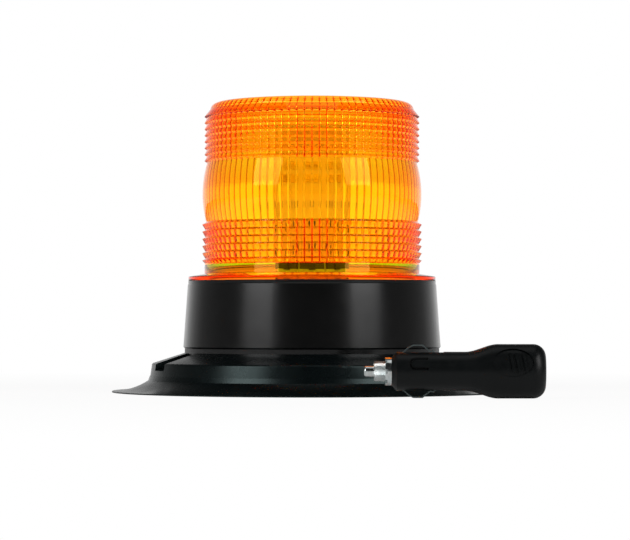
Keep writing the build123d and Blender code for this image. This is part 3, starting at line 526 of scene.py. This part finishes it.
def groove(turn):
    """Sharp V groove at each flute boundary, flat between."""
    away = min(phase_of(turn), 1 - phase_of(turn))
    return GROOVE_DEPTH * max(0.0, 1 - away / GROOVE_HALF)


def scallop(turn):
    """Rounded flute between the grooves."""
    return SCALLOP_DEPTH * (2 * phase_of(turn) - 1) ** 2


# Tone of the amber by height: red-orange flange, olive clear band, orange ribs with painted highlight rings
# and a painted shade ring
RIB_AMBER, LOW_RIB_AMBER, BARREL_AMBER = (1.0, 0.60, 0.09), (1.0, 0.68, 0.10), (1.0, 0.88, 0.18)
HIGHLIGHT_RING_AMBER, SHADE_RING_RED = (1.0, 1.0, 0.25), (1.0, 0.36, 0.02)
FLANGE_AMBER, OLIVE_AMBER = (1.0, 0.50, 0.03), (0.76, 1.0, 0.06)
BLEND = 0.2 * MM
# Height of each painted ring in the upper ribs, half its width, and its tone: the bright tones are painted
# highlights, the red tone is painted shade
PAINTED_LIGHT_RINGS = (
    (133.0 * MM, 0.35 * MM, HIGHLIGHT_RING_AMBER),
    (147.3 * MM, 0.3 * MM, BARREL_AMBER),
    (151.1 * MM, 0.4 * MM, HIGHLIGHT_RING_AMBER),
    (154.4 * MM, 0.4 * MM, HIGHLIGHT_RING_AMBER),
    (158.0 * MM, 0.5 * MM, SHADE_RING_RED),
)
tones = [
    (RIM_Z, FLANGE_AMBER),
    (RIM_Z + FLANGE_RISE - BLEND, FLANGE_AMBER),
    (RIM_Z + FLANGE_RISE + BLEND, OLIVE_AMBER),
    (band_top - 2 * BLEND, OLIVE_AMBER),
    (band_top, LOW_RIB_AMBER),
    (low_end, LOW_RIB_AMBER),
    (barrel_low, BARREL_AMBER),
    (barrel_high, BARREL_AMBER),
    (barrel_high + 3 * BLEND, RIB_AMBER),
]
# Paint each ring into the rib tone: painted highlights in bright amber, painted shade in red
for ring, half, colour in PAINTED_LIGHT_RINGS:
    tones += [(ring - half - BLEND, RIB_AMBER), (ring - half, colour)]
    tones += [(ring + half, colour), (ring + half + BLEND, RIB_AMBER)]
tones.append((CROWN_Z, RIB_AMBER))
finish["amber_lens"] = amber_glass("amber_polycarbonate", tones)
for name, node in nodes.items():
    for place in node.material_slots:
        place.material = own_finish.get(name, finish[slot_of[name]])

turns = [2 * pi * (k + phase) / FLUTES for k in range(FLUTES) for phase in FLUTE_PHASES]
rows = [(radius, height, 0, 0) for radius, height in soften(outer, EDGE_ROUND)][:-1] + inner
verts, faces = lathe(rows, turns, (groove, scallop))
make_object("lens_fluted", verts, faces, finish["amber_lens"], "beacon", ["lens"], 30)


# Domes of the light-emitting diodes, and the small parts on their boards
SIDES = 8
LED_SPACING = 6.8 * MM
DOME_RADIUS, DOME_STAND, DOME_DEPTH = 1.45 * MM, 1.4 * MM, 1.0 * MM
DOME_RINGS, DOME_POINTS = 4, 14
CONNECTOR_SIZE, CONNECTOR_RISE = (1.4 * MM, 3.8 * MM, 6.4 * MM), 6.0 * MM
RESISTOR_SIZE, RESISTOR_SHIFT = (0.6 * MM, 1.6 * MM, 3.2 * MM), 3.4 * MM
RESISTOR_SHARES = (0.18, 0.34, 0.5, 0.66)
led_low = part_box("leds_lower_row")
led_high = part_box("leds_upper_row")
board_low, board_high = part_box("led_board_1")
board_face = board_high[0]


def add_dome(verts, faces, base, out, along):
    """Adds a round dome standing out from a board at base."""
    start = len(verts)
    for ring in range(DOME_RINGS):
        tilt = radians(90 * ring / DOME_RINGS)
        for k in range(DOME_POINTS):
            spin = 2 * pi * k / DOME_POINTS
            radius = DOME_RADIUS * cos(tilt)
            flat = along * radius * cos(spin) + Vector((0, 0, radius * sin(spin)))
            verts.append(tuple(base + flat + out * DOME_DEPTH * sin(tilt)))
    verts.append(tuple(base + out * DOME_DEPTH))
    for ring in range(DOME_RINGS):
        a = start + ring * DOME_POINTS
        b = a + DOME_POINTS
        for k in range(DOME_POINTS):
            n = (k + 1) % DOME_POINTS
            faces.append((a + k, a + n, b + n, b + k) if ring < DOME_RINGS - 1 else (a + k, a + n, b))


dome_verts, dome_faces, pad_verts, pad_faces = [], [], [], []
for side in range(SIDES):
    turn = 2 * pi * side / SIDES
    out = Vector((cos(turn), sin(turn), 0))
    along = Vector((-sin(turn), cos(turn), 0))
    for low, high in (led_low, led_high):
        middle = (low[2] + high[2]) / 2
        for shift in (-LED_SPACING / 2, LED_SPACING / 2):
            base = out * (board_face + DOME_STAND) + along * shift + Vector((0, 0, middle))
            add_dome(dome_verts, dome_faces, base, out, along)
    # Black connector at the foot of each board, and its dropping resistors
    foot = out * (board_face + CONNECTOR_SIZE[0] / 2) + Vector((0, 0, board_low[2] + CONNECTOR_RISE))
    add_block(pad_verts, pad_faces, foot, CONNECTOR_SIZE, turn)
    for share in RESISTOR_SHARES:
        height = Vector((0, 0, board_low[2] + share * (board_high[2] - board_low[2])))
        for shift in (-RESISTOR_SHIFT, RESISTOR_SHIFT):
            centre = out * (board_face + RESISTOR_SIZE[0] / 2) + along * shift + height
            add_block(pad_verts, pad_faces, centre, RESISTOR_SIZE, turn)
make_object("led_domes", dome_verts, dome_faces, finish["led_package"], "beacon")
make_object(
    "board_resistors", pad_verts, pad_faces, finish["chip_plastic"], "beacon"
)


# Coil spring behind the plug's tip, of round wire
SPRING_TURNS, WIRE_RADIUS, TIP_TRAVEL = 5, 0.33 * MM, 3.5 * MM
COIL_CLEARANCE = 0.03 * MM
WIRE_POINTS, STEPS = 8, 24 * SPRING_TURNS
spring_low, spring_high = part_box("tip_spring")
spring_middle = [(a + b) / 2 for a, b in zip(spring_low, spring_high)]
coil_radius = (spring_high[1] - spring_low[1]) / 2 - WIRE_RADIUS - COIL_CLEARANCE
coil_length = spring_high[0] - spring_low[0] - 2 * WIRE_RADIUS
verts, faces = [], []
for step in range(STEPS + 1):
    turn = 2 * pi * SPRING_TURNS * step / STEPS
    x = spring_low[0] + WIRE_RADIUS + coil_length * step / STEPS
    for k in range(WIRE_POINTS):
        spin = 2 * pi * k / WIRE_POINTS
        reach = coil_radius + WIRE_RADIUS * cos(spin)
        y = spring_middle[1] + reach * cos(turn)
        z = spring_middle[2] + reach * sin(turn)
        verts.append((x + WIRE_RADIUS * sin(spin), y, z))
for step in range(STEPS):
    for k in range(WIRE_POINTS):
        a, b = step * WIRE_POINTS + k, step * WIRE_POINTS + (k + 1) % WIRE_POINTS
        faces.append((a, b, b + WIRE_POINTS, a + WIRE_POINTS))
faces.append(tuple(reversed(range(WIRE_POINTS))))
faces.append(tuple(STEPS * WIRE_POINTS + k for k in range(WIRE_POINTS)))
coil = make_object(
    "tip_coil", verts, faces, finish["zinc_steel"], "plug", ["tip_spring"], 60
)
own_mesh(coil)


# Floor that keeps a soft shadow near the object and reads as white
FLOOR_SHADE, FLOOR_GLOW, FLOOR_NEAR, FLOOR_FAR = 0.96, 0.93, 0.2, 0.6
FLOOR_Z = -0.2 * MM


def stage_material(name):
    """Pale matt floor whose shading fades out away from the object, so that it has no edge at the horizon."""
    material, tree, shader = new_material(name)
    shader.inputs["Roughness"].default_value = 0.9
    shader.inputs["Specular IOR Level"].default_value = 0.1
    pale = (FLOOR_SHADE,) * 3
    paler = tuple(min(1, c * 1.01) for c in pale)
    tree.links.new(tint(tree, noise(tree, 3, 2), pale, paler), shader.inputs["Base Color"])
    light = tree.nodes.new("ShaderNodeEmission")
    light.inputs["Strength"].default_value = 1.0
    mix = tree.nodes.new("ShaderNodeMixShader")
    path = tree.nodes.new("ShaderNodeLightPath")
    seen = combine(tree, "MAXIMUM", path.outputs["Is Camera Ray"], path.outputs["Is Transmission Ray"])
    where = tree.nodes.new("ShaderNodeTexCoord")
    away = tree.nodes.new("ShaderNodeVectorMath")
    away.operation = "LENGTH"
    tree.links.new(where.outputs["Object"], away.inputs[0])
    glow = spread(tree, away.outputs["Value"], FLOOR_GLOW, 1, FLOOR_NEAR, FLOOR_FAR)
    tree.links.new(combine(tree, "MULTIPLY", seen, glow), mix.inputs["Fac"])
    tree.links.new(shader.outputs["BSDF"], mix.inputs[1])
    tree.links.new(light.outputs["Emission"], mix.inputs[2])
    tree.links.new(mix.outputs["Shader"], tree.nodes["Material Output"].inputs["Surface"])
    return material


floor_mesh = bpy.data.meshes.new("studio_floor")
floor_mesh.from_pydata([(-6, -3, 0), (6, -3, 0), (6, 9, 0), (-6, 9, 0)], [], [(0, 1, 2, 3)])
floor = bpy.data.objects.new("studio_floor", floor_mesh)
floor.location.z = FLOOR_Z
floor_mesh.materials.append(stage_material("floor_white"))
bpy.context.scene.collection.objects.link(floor)
floor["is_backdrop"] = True


# World: brighter behind the object than in front, most of all low down, and plain white to the camera
BY_DEPTH = ((-1, 0.03), (-0.7, 0.06), (0, 0.14), (0.5, 0.22), (0.75, 0.50), (0.95, 0.95))
BY_RISE = ((-1, 1.0), (0.1, 1.0), (0.38, 0.4), (0.7, 0.25))
# What is seen through the lens is lit more, for the light that two walls take away
THROUGH_LENS = 1.6


def level(tree, value, stops):
    """Brightness along one direction of the world, from (direction, strength) pairs."""
    return shade(tree, value, [(place, (strength,) * 3) for place, strength in stops], -1, 1)


def choose(tree, switch, first, second):
    """First where switch is 0, the number second where it is 1."""
    node = tree.nodes.new("ShaderNodeMix")
    tree.links.new(switch, node.inputs["Factor"])
    tree.links.new(first, node.inputs["A"])
    node.inputs["B"].default_value = second
    return node.outputs["Result"]


world = bpy.data.worlds.new("studio_world")
bpy.context.scene.world = world
world.use_nodes = True
sky = world.node_tree
background = sky.nodes["Background"]
background.inputs["Color"].default_value = (1, 1, 1, 1)
direction = axes(sky, "Generated")
room = combine(sky, "MULTIPLY", level(sky, direction["Y"], BY_DEPTH), level(sky, direction["Z"], BY_RISE))
ray = sky.nodes.new("ShaderNodeLightPath").outputs
through = choose(sky, ray["Is Transmission Ray"], room, THROUGH_LENS)
strength = choose(sky, ray["Is Camera Ray"], through, 1.0)
sky.links.new(strength, background.inputs["Strength"])


# Lamps
LAMP_TARGET = (0, 0, 0.08)


def lamp(name, azimuth, elevation, distance, size, power):
    """Soft rectangular lamp aimed at the object. Azimuth 0 is in front, 90 on the right."""
    data = bpy.data.lights.new(name, "AREA")
    data.shape = "RECTANGLE"
    data.size, data.size_y = size
    data.energy = power
    lamp_object = bpy.data.objects.new(name, data)
    a, e = radians(azimuth), radians(elevation)
    away = Vector((sin(a) * cos(e), -cos(a) * cos(e), sin(e)))
    lamp_object.location = Vector(LAMP_TARGET) + away * distance
    lamp_object.rotation_euler = (-away).to_track_quat("-Z", "Y").to_euler()
    bpy.context.scene.collection.objects.link(lamp_object)


lamp("key_left", -49, 24, 1.6, (0.80, 0.90), 13)
lamp("key_right", 49, 24, 1.6, (0.80, 0.90), 13)
lamp("top_soft", 0, 85, 1.3, (0.8, 0.8), 1.5)


# Camera, level with the object as in the photograph
CAMERA_DISTANCE, CAMERA_HEIGHT = 1.5, 0.041
PHOTO_WIDTH, SHIFT_RIGHT_PX, SHIFT_UP_PX = 630, 3, 50
camera_data = bpy.data.cameras.new("camera")
camera_data.lens = 150
camera_data.sensor_width = 36
camera_data.shift_x = SHIFT_RIGHT_PX / PHOTO_WIDTH
camera_data.shift_y = SHIFT_UP_PX / PHOTO_WIDTH
camera_data.clip_start = 0.05
camera_data.clip_end = 50
camera = bpy.data.objects.new("camera", camera_data)
camera.location = (0, -CAMERA_DISTANCE, CAMERA_HEIGHT)
camera.rotation_euler = (radians(90), 0, 0)
bpy.context.scene.collection.objects.link(camera)
bpy.context.scene.camera = camera

scene = bpy.context.scene
scene.view_settings.view_transform = "Standard"
scene.cycles.max_bounces = 24
scene.cycles.transmission_bounces = 20
scene.cycles.glossy_bounces = 16

low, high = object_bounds()
